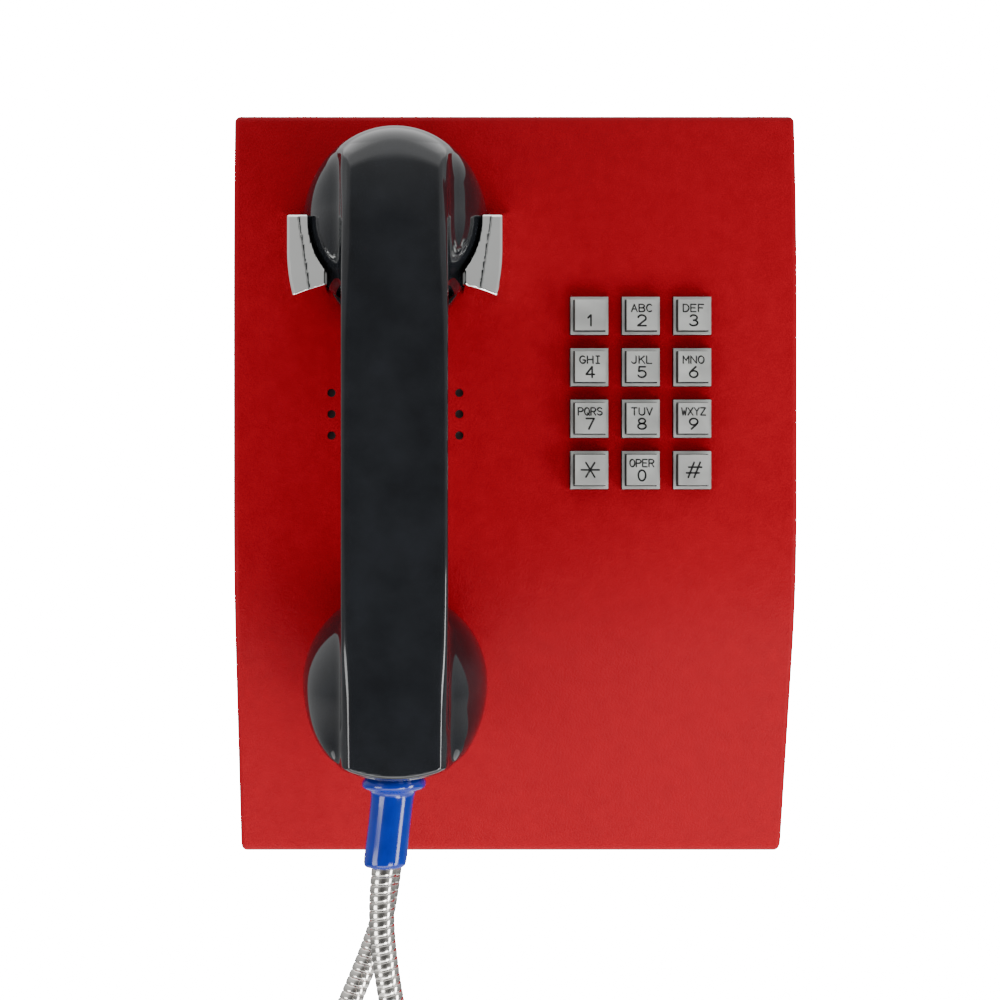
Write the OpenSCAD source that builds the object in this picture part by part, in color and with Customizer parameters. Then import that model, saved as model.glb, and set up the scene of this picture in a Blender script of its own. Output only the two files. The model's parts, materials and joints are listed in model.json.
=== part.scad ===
// Coinless wall payphone: steel housing, handset in a chromed cradle, metal keypad, armoured cord.
// Origin: centre of the four wall holes, on the wall plane. +X right, -Y towards the user, +Z up.

/* [Housing] */
// Width of the housing
body_w = 188; // [180:1:200]
// Height of the housing
body_h = 251.5; // [244:0.5:256]
// Depth of the flat middle of the front panel, from the wall
body_d = 79; // [76:1:84]
// Thickness of the sheet steel
wall_t = 1.8; // [1.5:0.1:2]
// Radius of the upper front curve
upper_r = 390; // [300:10:600]
// Radius of the lower front curve
lower_r = 146; // [140:2:160]
// Angle that the lower front leans back
lower_lean = 20; // [18:1:22]

/* [Wall fixing] */
// Wall hole spacing across
wall_hole_x = 120; // [110:1:130]
// Wall hole spacing upwards
wall_hole_z = 180; // [170:1:190]
// Wall hole radius
wall_hole_r = 3.25; // [2.5:0.25:3.5]
// Radius of the cable entry through the grommet
entry_r = 5; // [4:0.5:6]

/* [Keypad] */
// Distance between key centres
key_pitch = 17.1; // [16.8:0.1:17.5]
// Side of a key cap
key_w = 10.1; // [9.4:0.1:10.3]
// Side of the collar round a key
collar_w = 12.5; // [12.4:0.1:13]
// How far a key cap stands out of its collar
key_proud = 3.8; // [3:0.1:4.5]
// Travel of a key
key_travel = 1.2; // [0.8:0.1:1.2]

/* [Handset] */
// Largest radius of the two cups
cup_r = 30.3; // [30:0.1:30.4]
// Distance between the cup centres
cup_span = 150; // [146:1:154]
// Width of the handle
grip_w = 33.5; // [30:0.5:35]
// Width of the flat face along the handle
grip_flat_w = 28.8; // [26:0.2:30]
// Lean of the boot away from vertical
boot_lean = 6.5; // [4:0.5:8]

/* [Cord] */
// Outer diameter of the armoured cord
cord_d = 8.2; // [7.5:0.1:9]

/* [Hidden] */
eps = 1;
$fn = 48;

// ---- housing profile, in side view: [y, z] ----
half_h = body_h / 2;
plate_x = body_w / 2 - 2.1;      // half width of the back plate
plate_z = half_h - 2.15;         // half height of the back plate
upper_z = 60;                    // the flat middle ends here and the upper curve begins
lower_z = -5;                    // the flat middle ends here and the lower curve begins
top_bend_r = 2.5;
bottom_bend_r = 6;
upper_c = [upper_r - body_d, upper_z];
lower_c = [lower_r - body_d, lower_z];
slope_p = lower_c - lower_r * [cos(lower_lean), sin(lower_lean)];
top_bend_z = half_h - top_bend_r;
top_bend_c = [upper_c.x - sqrt(pow(upper_r - top_bend_r, 2) - pow(top_bend_z - upper_z, 2)), top_bend_z];
top_lean = asin((top_bend_z - upper_z) / (upper_r - top_bend_r));
bottom_bend_z = bottom_bend_r - half_h;
bottom_bend_y = slope_p.x + (bottom_bend_r - (bottom_bend_z - slope_p.y) * sin(lower_lean)) / cos(lower_lean);
bottom_bend_c = [bottom_bend_y, bottom_bend_z];

function arc(c, r, a0, a1, n) = [for (i = [0:n]) c + r * [cos(a0 + (a1 - a0) * i / n), sin(a0 + (a1 - a0) * i / n)]];
// Outline of the housing set in by t, with its back at y_back
function housing_outline(t, y_back) = concat(
  [[y_back, half_h - t]],
  arc(top_bend_c, top_bend_r - t, 90, 180 - top_lean, 4),
  arc(upper_c, upper_r - t, 180 - top_lean + 0.5, 180, 7),
  arc(lower_c, lower_r - t, 180, 180 + lower_lean, 9),
  arc(bottom_bend_c, bottom_bend_r - t, 180 + lower_lean, 270, 6),
  [[y_back, t - half_h]]);
// Y of the panel's surface, set in by t, at height z
function panel_y(z, t = 0) =
  z > upper_z ? upper_c.x - sqrt(pow(upper_r - t, 2) - pow(z - upper_z, 2)) :
  z > lower_z ? t - body_d :
  z > slope_p.y ? lower_c.x - sqrt(pow(lower_r - t, 2) - pow(z - lower_z, 2)) :
  slope_p.x + t / cos(lower_lean) + (slope_p.y - z) * tan(lower_lean);
panel_in = wall_t - body_d;      // inner face of the flat middle

// ---- keypad places ----
pad_x = 41.6;
pad_z = 32.4;
pad_w = 58;
pad_h = 68;
pad_stud = [26, key_pitch];
frame_y = panel_in + 0.4;        // front face of the keypad frame's plate
frame_t = 2.8;
collar_y = -body_d - 1.5;        // front face of the collars
mat_y = frame_y + frame_t + 5.1;
mat_t = 1.2;
board_t = 1.6;

// ---- cradle, hook and handset places ----
hand_x = -40;
ear_z = 87;
mouth_z = ear_z - cup_span;
cap_h = 80.5;                    // depth of the caps' faces
rim_h = 90;                      // depth of the widest part of a cup
dome_h = 128;                    // depth of the top of a dome
cavity_r = cup_r + 0.6;
lip_r = 27.9;
lip_h = 106.8;
cradle_h = 110;
prong_foot = 61.8;               // lowest z of the prongs
arch_r = 92;                     // radius of the hollow between their feet
arch_rise = 6.4;                 // its height over the feet
throat = 21.7;                   // half width of the gap between the prongs
pivot = [-58, 66];               // y, z of the hook lever's pivot
pivot_r = 2;
slot = [12.6, 53, 64];           // half width, lowest z and highest z of the lever's slot

// ---- ringer ----
ring_z = 25.4;
ring_pitch = 7.1;
ring_stud = 20.5;

// ---- cord entry and boot ----
gland_p = [-42, -25];
gland_end = -132;
boot_y = -106;
boot_top = [-40.2, boot_y, -93.2];
boot_len = 28.2;

// Route of the cord from the boot's end to the gland, a free hanging loop
route = [
  [-43.4, -106, -121.6], [-44.1, -106, -130], [-44.2, -105.8, -139], [-43.4, -105.3, -149],
  [-41.9, -104.5, -160], [-39.3, -103.2, -174], [-35.8, -101.4, -189], [-31.5, -99.2, -205],
  [-26.5, -96.8, -222], [-21.5, -94.2, -240], [-17, -91.4, -259], [-13.5, -88.5, -278.5],
  [-11.8, -85.5, -298.5], [-12.5, -82.5, -318.5], [-16, -79.5, -338], [-23, -76.5, -356],
  [-33.5, -73.5, -371.5], [-47.5, -70.5, -382], [-64, -67.5, -385.5], [-80.5, -64.5, -381.5],
  [-94, -61.5, -371], [-103, -58.5, -356], [-107.5, -55.5, -338], [-108, -52.5, -318],
  [-105, -49.5, -298], [-99.8, -46.5, -278], [-92.8, -43.5, -258.5], [-85, -40.5, -240],
  [-77, -37.6, -223], [-69.2, -34.7, -207.5], [-62, -31.9, -193], [-55.5, -29.4, -179],
  [-49.8, -27.3, -165.5], [-45.2, -25.8, -152.5], [-43.1, -25.1, -141.5], [-42, -25, -132.2]
];

// ---- helpers ----
module along_x(x0, x1) translate([x0, 0, 0]) rotate([90, 0, 90]) linear_extrude(x1 - x0) children();
// A cylinder along -Y from depth h0 to h1
module peg(x, z, h0, h1, r, r2 = -1)
  translate([x, -h0, z]) rotate([90, 0, 0]) cylinder(h = h1 - h0, r1 = r, r2 = r2 < 0 ? r : r2);
// A turned part about the Y axis through x, z: points are [radius, depth]
module turned(x, z, points) translate([x, 0, z]) rotate([90, 0, 0]) rotate_extrude($fn = 96) polygon(points);
module block(x, y, z) translate([x[0], y[0], z[0]]) cube([x[1] - x[0], y[1] - y[0], z[1] - z[0]]);
// A button-head screw along +Z: its head above 0 and its shank below
module screw(r, len, head_r, head_h) difference() {
  union() {
    translate([0, 0, -len]) cylinder(h = len, r = r);
    cylinder(h = head_h, r = head_r);
  }
  translate([0, 0, head_h / 3]) cylinder(h = head_h, r = head_r * 0.5, $fn = 6);
}
module nut(r, hole_r, t) difference() {
  cylinder(h = t, r = r, $fn = 6);
  translate([0, 0, -eps]) cylinder(h = t + 2 * eps, r = hole_r);
}
// Points on a smooth curve through p, n to each span
function mix(a, b, c, d, t) = 0.5 * (2 * b + (c - a) * t + (2 * a - 5 * b + 4 * c - d) * t * t
  + (3 * b - a - 3 * c + d) * t * t * t);
function smooth(p, n) = concat(
  [for (i = [0:len(p) - 2], k = [0:n - 1])
    mix(p[max(i - 1, 0)], p[i], p[i + 1], p[min(i + 2, len(p) - 1)], k / n)],
  [p[len(p) - 1]]);
function unit(v) = v / norm(v);
// A round tube swept along p; side is a direction that p never runs along
module tube(p, r, sides, side = [0, 1, 0]) {
  n = len(p);
  rings = [for (i = [0:n - 1])
    let (t = unit(p[min(i + 1, n - 1)] - p[max(i - 1, 0)]), u = unit(cross(t, side)), v = cross(t, u))
    for (k = [0:sides - 1]) p[i] + r * (cos(360 * k / sides) * u + sin(360 * k / sides) * v)];
  walls = [for (i = [0:n - 2], k = [0:sides - 1]) let (a = i * sides + k, b = i * sides + (k + 1) % sides)
    [a, a + sides, b + sides, b]];
  polyhedron(rings, concat([[for (k = [0:sides - 1]) k]], walls, [[for (k = [sides - 1:-1:0]) (n - 1) * sides + k]]),
    convexity = 10);
}
module at_keys() for (c = [-1:1], r = [-1.5:1:1.5]) translate([pad_x + c * key_pitch, 0, pad_z + r * key_pitch]) children();
module at_pad_studs() for (sx = [-1, 1], sz = [-1, 1])
  translate([pad_x + sx * pad_stud.x, 0, pad_z + sz * pad_stud.y]) children();
module at_ring_studs() for (sx = [-1, 1], sz = [-1, 1])
  translate([hand_x + sx * ring_stud, 0, ring_z + sz * ring_stud]) children();
module at_cradle_screws() for (sx = [-1, 1], z = [67, 86]) translate([hand_x + sx * 34.3, 0, z]) children();
module at_board_corners() for (x = [-40, 50], z = [-57, 43]) translate([x, 0, z]) children();

// ---- housing ----
module front_shell() color("#9c1c22") difference() {
  along_x(-body_w / 2, body_w / 2) polygon(housing_outline(0, 0));
  along_x(wall_t - body_w / 2, body_w / 2 - wall_t) polygon(housing_outline(wall_t, eps));
  at_keys() cube([collar_w + 0.4, 2 * (body_d + 5), collar_w + 0.4], center = true);
  for (c = [-3:3], r = [-1:1]) peg(hand_x + c * ring_pitch, ring_z + r * ring_pitch, 70, body_d + 5, 1.35);
  block([hand_x - slot[0], hand_x + slot[0]], [-body_d - 5, -70], [slot[1], slot[2]]);
  at_cradle_screws() peg(0, 0, 70, body_d + 5, 2.2);
  translate([gland_p.x, gland_p.y, -half_h - eps]) cylinder(h = wall_t + 2 * eps, r = 5.55);
  for (x = [-70, 70]) translate([x, -12, -half_h - eps]) cylinder(h = body_h + 2 * eps, r = 2.2);
}
module back_plate() color("#8c8f92") difference() {
  block([-plate_x, plate_x], [-2, 0], [-plate_z, plate_z]);
  for (sx = [-1, 1], sz = [-1, 1]) peg(sx * wall_hole_x / 2, sz * wall_hole_z / 2, -eps, 3, wall_hole_r);
  peg(30, -88, -eps, 3, 9);
}
// Tabs that stand on the back plate and take the cover screws
module cover_tabs() color("#94979a") difference() {
  for (x = [-70, 70], s = [-1, 1])
    block([x - 10, x + 10], [-22, -2], [s * (plate_z - 0.9) - 0.9, s * (plate_z - 0.9) + 0.9]);
  for (x = [-70, 70]) translate([x, -12, -half_h]) cylinder(h = body_h, r = 1.95);
}
module rear_seal() color("#2a2a2c") difference() {
  block([0.1 - plate_x, plate_x - 0.1], [-4.6, -2], [2.5 - plate_z, plate_z - 2.5]);
  block([5.1 - plate_x, plate_x - 5.1], [-6, -1], [7.5 - plate_z, plate_z - 7.5]);
  for (x = [-70, 70], s = [-1, 1]) translate([x, -12, s * (plate_z - 0.9)]) cube([20.6, 21, 8], center = true);
}
module cover_screws() color("#b8bbbe") for (x = [-70, 70], s = [-1, 1])
  translate([x, -12, s * half_h]) rotate([s > 0 ? 0 : 180, 0, 0]) screw(1.9, 6.5, 3.8, 2.2);
module cable_grommet() color("#1c1c1e") turned(30, -88,
  [[entry_r, -0.0], [9, 0], [9, 2], [12, 2.05], [12, 3.6], [entry_r, 3.6]]);
module panel_studs() color("#a7aaad") {
  at_pad_studs() peg(0, 0, -panel_in - 15.6, -panel_in, 1.5);
  at_ring_studs() peg(0, 0, -panel_in - 7, -panel_in, 1.5);
}
module stud_nuts() color("#c4c6c8") {
  at_pad_studs() translate([0, mat_y + mat_t + board_t + 0.1, 0]) rotate([-90, 0, 0]) nut(3.2, 1.52, 2.4);
  at_ring_studs() translate([0, panel_in + 2.7, 0]) rotate([-90, 0, 0]) nut(3.2, 1.52, 2.4);
}

// ---- cradle and hook ----
module cradle_body() color("#c9ccd0") {
  difference() {
    intersection() {
      translate([hand_x, 0, 50]) linear_extrude(60)
        polygon([[-38.5, -70], [38.5, -70], [38.5, -77], [34.2, -cradle_h], [-34.2, -cradle_h], [-38.5, -77]]);
      along_x(hand_x - 40, hand_x + 40)
        polygon([[-70, 93.2], [-77, 93.2], [-cradle_h, 87.8], [-cradle_h, prong_foot], [-70, prong_foot]]);
    }
    along_x(hand_x - 60, hand_x + 60) polygon(housing_outline(0, 0));
    peg(hand_x, ear_z, 70, lip_h, cavity_r, $fn = 96);
    block([hand_x - cavity_r, hand_x + cavity_r], [-lip_h, -70], [ear_z, 100]);
    peg(hand_x, ear_z, 100, cradle_h + eps, lip_r, $fn = 96);
    block([hand_x - lip_r, hand_x + lip_r], [-cradle_h - eps, -100], [ear_z, 100]);
    peg(hand_x, ear_z, cradle_h - 1.3, cradle_h + 0.05, lip_r, 31.5, $fn = 96);
    block([hand_x - throat, hand_x + throat], [-cradle_h - eps, -70], [50, ear_z]);
    peg(hand_x, prong_foot + arch_rise - arch_r, 70, cradle_h + eps, arch_r, $fn = 160);
    at_cradle_screws() peg(0, 0, 70, 86, 1.7);
  }
}
module cradle_screws() color("#b8bbbe") at_cradle_screws() rotate([-90, 0, 0])
  translate([0, 0, -75.9]) screw(1.65, 9, 3.4, 2.2);
module hook_bracket() color("#a0a3a6") difference() {
  union() {
    block([hand_x - 19, hand_x + 19], [-75.4, -38], [50, 51.5]);
    for (s = [-1, 1]) {
      block([hand_x + s * 18.25 - 0.75, hand_x + s * 18.25 + 0.75], [-75.4, -50], [50, 72]);
      block([hand_x + s * 22.25 - 4.75, hand_x + s * 22.25 + 4.75], [-76.9, -75.4], [50, 62]);
    }
  }
  translate([hand_x - 30, pivot.x, pivot.y]) rotate([0, 90, 0]) cylinder(h = 60, r = pivot_r + 0.02);
}
module hook_pivot_pin() color("#d0d2d4") translate([hand_x - 20.5, pivot.x, pivot.y]) rotate([0, 90, 0]) {
  cylinder(h = 41, r = pivot_r);
  translate([0, 0, 39.6]) cylinder(h = 1.4, r = 3);
}
module hook_spring() color("#c0c2c4") {
  coils = 3.5;
  steps = 14;
  tube([for (i = [0:coils * steps]) let (a = 360 * i / steps)
    [hand_x + 2.8 * cos(a), -64 + 2.8 * sin(a), 52.1 + 5.2 * i / (coils * steps)]], 0.4, 6, side = [0, 0, 1]);
}
module hook_switch() color("#2c3f66") {
  block([hand_x - 10, hand_x + 10], [-53, -41], [51.5, 56.2]);
  block([hand_x - 1.5, hand_x + 1.5], [-51.5, -49.5], [56.2, 57.6]);
}
module hook_lever() color("#151517") difference() {
  union() {
    // Crescent saddle under the ear cup
    difference() {
      peg(hand_x, 74.7, 82, 104, 23, $fn = 96);
      peg(hand_x, ear_z, 81, 105, cavity_r, $fn = 96);
      block([hand_x - 30, hand_x + 30], [-105, -81], [64.6, 100]);
    }
    along_x(hand_x - 12, hand_x + 12) polygon([[-84, 52.6], [-84, 56], [-82.5, 58], [-77, 58], [-70, 64], [-64, 70],
      [-54, 70], [-50, 66], [-50, 60], [-54, 58], [-68, 58], [-71, 54], [-82, 54]]);
    translate([hand_x - 16.5, pivot.x, pivot.y]) rotate([0, 90, 0]) cylinder(h = 33, r = 5);
  }
  translate([hand_x - 30, pivot.x, pivot.y]) rotate([0, 90, 0]) cylinder(h = 60, r = pivot_r + 0.05);
}

// ---- keypad ----
module keypad_frame() color("#b9babb") difference() {
  union() {
    block([pad_x - pad_w / 2, pad_x + pad_w / 2], [frame_y, frame_y + frame_t], [pad_z - pad_h / 2, pad_z + pad_h / 2]);
    at_keys() block([-collar_w / 2, collar_w / 2], [collar_y, frame_y + eps], [-collar_w / 2, collar_w / 2]);
    at_pad_studs() peg(0, 0, -mat_y, -frame_y - 1, 3);
  }
  at_keys() cube([key_w + 0.6, 2 * (body_d + 5), key_w + 0.6], center = true);
  at_pad_studs() peg(0, 0, 60, 82, 1.7);
}
// A flat sheet of the keypad's outline with stud holes
module pad_sheet(y, t) difference() {
  block([pad_x - pad_w / 2, pad_x + pad_w / 2], [y, y + t], [pad_z - pad_h / 2, pad_z + pad_h / 2]);
  at_pad_studs() peg(0, 0, 60, 82, 1.7);
}
module keypad_gasket() color("#3a3a3c") difference() {
  pad_sheet(panel_in + 0.1, 0.3);
  at_keys() cube([collar_w + 0.4, 2 * (body_d + 5), collar_w + 0.4], center = true);
}
module keypad_mat() color("#5a5d60") {
  pad_sheet(mat_y, mat_t);
  at_keys() peg(0, 0, -mat_y, -mat_y + 0.3, 4);
}
module keypad_board() color("#1f6b3a") pad_sheet(mat_y + mat_t + 0.05, board_t);
module keypad_ribbon() color("#8d9094") along_x(pad_x - 20, pad_x - 6)
  polygon([[-65.6, 2], [-65, 2], [-60, -8], [-30, -18], [-21, -20], [-21, -20.8], [-30.4, -18.8], [-60.6, -8.8], [-65.6, 0]]);
module key(col, row) color("#c6c7c8") translate([pad_x + (col - 1) * key_pitch, 0, pad_z + (1.5 - row) * key_pitch]) {
  block([-key_w / 2, key_w / 2], [collar_y - key_proud, frame_y + frame_t + 0.3], [-key_w / 2, key_w / 2]);
  block([-6.2, 6.2], [frame_y + frame_t + 0.3, frame_y + frame_t + 1.5], [-6.2, 6.2]);
  peg(0, 0, -(frame_y + frame_t + 3.5), -(frame_y + frame_t + 1.5), 2.5);
}

// ---- ringer ----
module speaker_mesh() color("#3c3f42") block([hand_x - 24, hand_x + 24], [panel_in + 0.1, panel_in + 0.5],
  [ring_z - 10, ring_z + 10]);
module ringer_speaker() color("#2b2d30") {
  difference() {
    block([hand_x - 24, hand_x + 24], [panel_in + 0.6, panel_in + 2.6], [ring_z - 24, ring_z + 24]);
    peg(hand_x, ring_z, 70, 80, 19);
    at_ring_studs() peg(0, 0, 70, 80, 1.7);
  }
  turned(hand_x, ring_z, [[0, 59], [12.5, 59], [12.5, 65], [13.5, 65], [20, 74.6], [18.9, 75.2], [11, 67], [0, 67]]);
}

// ---- electronics ----
module main_board() color("#1f6b3a") difference() {
  block([-45, 55], [-16.6, -15], [-62, 48]);
  at_board_corners() peg(0, 0, 10, 20, 1.7);
}
module board_standoffs() color("#c4b06a") at_board_corners() difference() {
  peg(0, 0, 2, 15, 3);
  peg(0, 0, 4, 16, 1.5);
}
module board_screws() color("#b8bbbe") at_board_corners() rotate([90, 0, 0]) translate([0, 0, 16.6]) screw(1.48, 6, 2.8, 2);
module terminal_block() color("#2f7d43") difference() {
  block([8, 40], [-26, -16.6], [-60, -50]);
  for (i = [0:3]) translate([12 + i * 8, -21.5, -61]) cylinder(h = 6, r = 1.8);
  for (i = [0:3]) peg(12 + i * 8, -55, 24, 27, 2);
}
module board_components() color("#3a3c40") {
  block([-36, -10], [-38, -16.6], [10, 34]);
  block([16, 34], [-28, -16.6], [20, 36]);
  block([-8, 6], [-19.4, -16.6], [-12, 8]);
  block([20, 37], [-20.8, -16.6], [-23, -18]);
  for (x = [-28, -14]) peg(x, -10, 16.6, 30, 5);
  for (i = [0:4]) block([14 + i * 6, 17 + i * 6], [-18.4, -16.6], [0, 8]);
}
module line_harness() color("#26282b") tube(smooth([[-42, -25, -103], [-42, -25, -96], [-39, -25, -88],
  [-30, -26, -78], [-18, -27, -74], [-2, -27, -74], [8, -25, -71], [12, -22.5, -66], [12, -21.5, -61.2]], 2), 1.6, 8);

// ---- cord entry and cord ----
module cord_gland() color("#c8cacc") translate([gland_p.x, gland_p.y, 0]) difference() {
  union() {
    translate([0, 0, -half_h - 4]) rotate([0, 0, 30]) cylinder(h = 4, r = 7, $fn = 6);
    translate([0, 0, gland_end]) cylinder(h = 4, r = 5.6);
    translate([0, 0, -half_h - 2]) cylinder(h = 15, r = 5.4);
  }
  translate([0, 0, -140]) cylinder(h = 35, r = 4.3);
}
module gland_nut() color("#b8bbbe") translate([gland_p.x, gland_p.y, wall_t - half_h]) nut(8, 5.45, 4);
module cord_anchor() color("#9a9da0") translate([gland_p.x, gland_p.y, 0]) difference() {
  union() {
    translate([0, 0, -111.8]) cylinder(h = 2, r = 8);
    translate([0, 0, -110]) cylinder(h = 7, r = 4.5);
  }
  translate([0, 0, -120]) cylinder(h = 20, r = 2);
}
module armoured_cord() color("#b4b6b8") tube(smooth(route, 2), cord_d / 2, 8);

// ---- handset ----
// Half section of a cup's dome: radius at each depth, on an ellipse
function dome(n) = [for (i = [0:n]) let (a = 90 * i / n) [cup_r * cos(a), rim_h + (dome_h - rim_h) * sin(a)]];
grip_bow = arc([500.1, 7], 634.6, 180 + asin(100 / 634.6), 180 - asin(100 / 634.6), 12);
grip_back = arc([209.2, 12], 320.7, 180 - asin(56 / 320.7), 180 + asin(56 / 320.7), 8);
module grip_core(inset, w) along_x(hand_x - w / 2, hand_x + w / 2)
  translate([inset, 0]) polygon(concat([for (p = grip_bow) p], [[-100 - inset, 105]], [for (p = grip_back) p - [inset, 0]],
    [[-100 - inset, -90]]));
// The handle's ends narrow from the cups' width towards the front
module cup_outline(r) for (z = [ear_z, mouth_z]) {
  peg(hand_x, z, rim_h, 92, r, $fn = 96);
  peg(hand_x, z, 92, 140, r, r - 4.2, $fn = 96);
}
module handset_body() color("#0e1114") difference() {
  union() {
    for (z = [ear_z, mouth_z]) turned(hand_x, z, concat([[0, rim_h]], dome(14)));
    intersection() {
      union() {
        grip_core(0, grip_flat_w);
        grip_core(1.2, grip_w - 1.6);
        grip_core(2.4, grip_w);
      }
      union() {
        cup_outline(cup_r - 0.6);
        block([hand_x - 20, hand_x + 20], [-140, -90], [mouth_z, ear_z]);
      }
    }
    translate(boot_top) rotate([0, boot_lean, 0]) cylinder(h = 14, r = 9.4);
  }
  for (z = [ear_z, mouth_z]) {
    peg(hand_x, z, 80, 104, 25.6, $fn = 96);
    peg(hand_x, z, 100, 118, 14);
  }
  block([hand_x - 6, hand_x + 6], [-118, -114.5], [mouth_z, ear_z]);
  translate(boot_top) rotate([0, boot_lean, 0]) translate([0, 0, -5]) cylinder(h = 30, r = 5.2);
}
module cap(z, holes) difference() {
  turned(hand_x, z, [[0, cap_h], [24, cap_h], [26, 81.3], [29.8, 85], [cup_r, rim_h - 0.3], [25.3, rim_h - 0.3],
    [25.3, 96], [23.3, 96], [23.3, 83.5], [0, 83.5]]);
  for (i = [0:holes - 1]) rotate_about(z, 360 * i / holes) peg(hand_x + 8, z, 79, 85, 1.2);
  peg(hand_x, z, 79, 85, 1.2);
}
module rotate_about(z, a) translate([hand_x, 0, z]) rotate([0, a, 0]) translate([-hand_x, 0, -z]) children();
module ear_cap() color("#101316") cap(ear_z, 8);
module mouth_cap() color("#101316") cap(mouth_z, 6);
module receiver_capsule() color("#5c5f63") turned(hand_x, ear_z,
  [[0, 84.3], [22.5, 84.3], [22.5, 94], [12, 95], [12, 101], [0, 101]]);
module microphone_capsule() color("#5c5f63") turned(hand_x, mouth_z,
  [[0, 84.3], [22.5, 84.3], [22.5, 86.5], [14, 86.5], [14, 93], [0, 93]]);
module capsule_seals() color("#2a2a2c") for (z = [ear_z, mouth_z])
  turned(hand_x, z, [[19.5, 83.55], [22.4, 83.55], [22.4, 84.25], [19.5, 84.25]]);
module handset_wiring() color("#9a2f2f") {
  for (x = [-3, 3]) {
    translate([hand_x + x, -116.2, mouth_z]) cylinder(h = cup_span, r = 1.2);
    peg(hand_x + x, ear_z, 101.1, 117.4, 1.2);
    peg(hand_x + x, mouth_z, 93.1, 117.4, 1.2);
  }
}
module cord_boot() color("#1d4fb4") translate(boot_top) rotate([0, boot_lean, 0]) difference() {
  union() {
    translate([0, 0, -3.6]) cylinder(h = 3.4, r = 10);
    translate([0, 0, -boot_len]) cylinder(h = boot_len - 3, r1 = 6.7, r2 = 7.2);
    translate([0, 0, -1]) cylinder(h = 8, r = 5.1);
  }
  translate([0, 0, -boot_len - eps]) cylinder(h = boot_len + 12, r = 2.5);
}

front_shell();
back_plate();
cover_tabs();
rear_seal();
cover_screws();
cable_grommet();
panel_studs();
stud_nuts();
cradle_body();
cradle_screws();
hook_bracket();
hook_pivot_pin();
hook_spring();
hook_switch();
hook_lever();
keypad_frame();
keypad_gasket();
keypad_mat();
keypad_board();
keypad_ribbon();
key(0, 0);  // key_1
key(1, 0);  // key_2
key(2, 0);  // key_3
key(0, 1);  // key_4
key(1, 1);  // key_5
key(2, 1);  // key_6
key(0, 2);  // key_7
key(1, 2);  // key_8
key(2, 2);  // key_9
key(0, 3);  // key_star
key(1, 3);  // key_0
key(2, 3);  // key_hash
ringer_speaker();
speaker_mesh();
main_board();
board_standoffs();
board_screws();
terminal_block();
board_components();
line_harness();
cord_gland();
gland_nut();
cord_anchor();
armoured_cord();
handset_body();
ear_cap();
mouth_cap();
receiver_capsule();
microphone_capsule();
capsule_seals();
handset_wiring();
cord_boot();
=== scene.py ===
"""Coinless wall payphone: red housing, black handset in a chromed cradle, metal keys, armoured cord."""
import json
import math

import bmesh
import bpy
import numpy as np
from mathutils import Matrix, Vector


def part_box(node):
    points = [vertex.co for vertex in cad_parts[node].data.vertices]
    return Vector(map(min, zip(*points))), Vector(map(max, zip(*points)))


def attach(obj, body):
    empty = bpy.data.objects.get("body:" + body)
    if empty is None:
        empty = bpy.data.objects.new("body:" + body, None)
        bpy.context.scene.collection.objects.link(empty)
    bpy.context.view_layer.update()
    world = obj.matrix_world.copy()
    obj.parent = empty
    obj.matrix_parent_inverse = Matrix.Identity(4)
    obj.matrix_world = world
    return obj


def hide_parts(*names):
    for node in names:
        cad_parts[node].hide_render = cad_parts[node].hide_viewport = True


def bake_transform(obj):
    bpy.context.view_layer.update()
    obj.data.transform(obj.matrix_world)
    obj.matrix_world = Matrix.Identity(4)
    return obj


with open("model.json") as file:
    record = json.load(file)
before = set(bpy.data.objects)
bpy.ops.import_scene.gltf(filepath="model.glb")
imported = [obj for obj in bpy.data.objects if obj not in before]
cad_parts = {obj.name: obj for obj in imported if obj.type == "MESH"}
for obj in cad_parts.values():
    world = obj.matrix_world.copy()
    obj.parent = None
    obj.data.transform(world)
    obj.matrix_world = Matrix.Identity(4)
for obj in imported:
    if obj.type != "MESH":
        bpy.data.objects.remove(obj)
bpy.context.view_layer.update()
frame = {"nodes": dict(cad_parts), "record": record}
NODES = frame["nodes"]
MM = 0.001

# ---- driving dimensions, in millimetres, in the frame's own axes: -Y faces the user ----
SHELL_LOW, SHELL_HIGH = (np.array(c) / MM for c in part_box("front_shell"))
BODY_W = SHELL_HIGH[0] - SHELL_LOW[0]
HALF_H = (SHELL_HIGH[2] - SHELL_LOW[2]) / 2
BODY_D = -SHELL_LOW[1]
WALL_T = 1.8
PANEL_H = 77          # from the wall to the flat front
# The front is flat between these two heights, curves back above and below them, and leans back at the bottom
UPPER_R, UPPER_Z = 390, 60
LOWER_R, LOWER_Z, LOWER_LEAN = 146, -5, math.radians(20)
TOP_BEND, BOTTOM_BEND, SIDE_BEND = 2.5, 6, 2.0       # outer radii of the folded edges
BEND_STEPS = 6                                       # facets round each side's fold
CUT_FRONT, CUT_BACK = -90, -70                       # the panel's openings are cut between these two y
HOLE_PITCH, HOLE_R, HOLES_Z = 7.1, 1.4, 25.4         # sound holes, centred on HAND_X
SLOT_HALF, SLOT_LOW, SLOT_HIGH = 12.6, 53, 64        # slot of the hook lever
GLAND_X, GLAND_Y, GLAND_HOLE_R = -42, -25, 5.55
SCREW_X, SCREW_Y, SCREW_HOLE_R = 70, -12, 2.2        # cover screws in the top and bottom

# Handset. H is the distance from the wall
HAND_X = -40
EAR_Z, MOUTH_Z = 87, -63
CUP_R, RIM_H, DOME_H = 30.3, 90, 128
GRIP_HALF, GRIP_FLAT_HALF, GRIP_CHAMFER_H = 16.75, 14.4, 3.6
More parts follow.
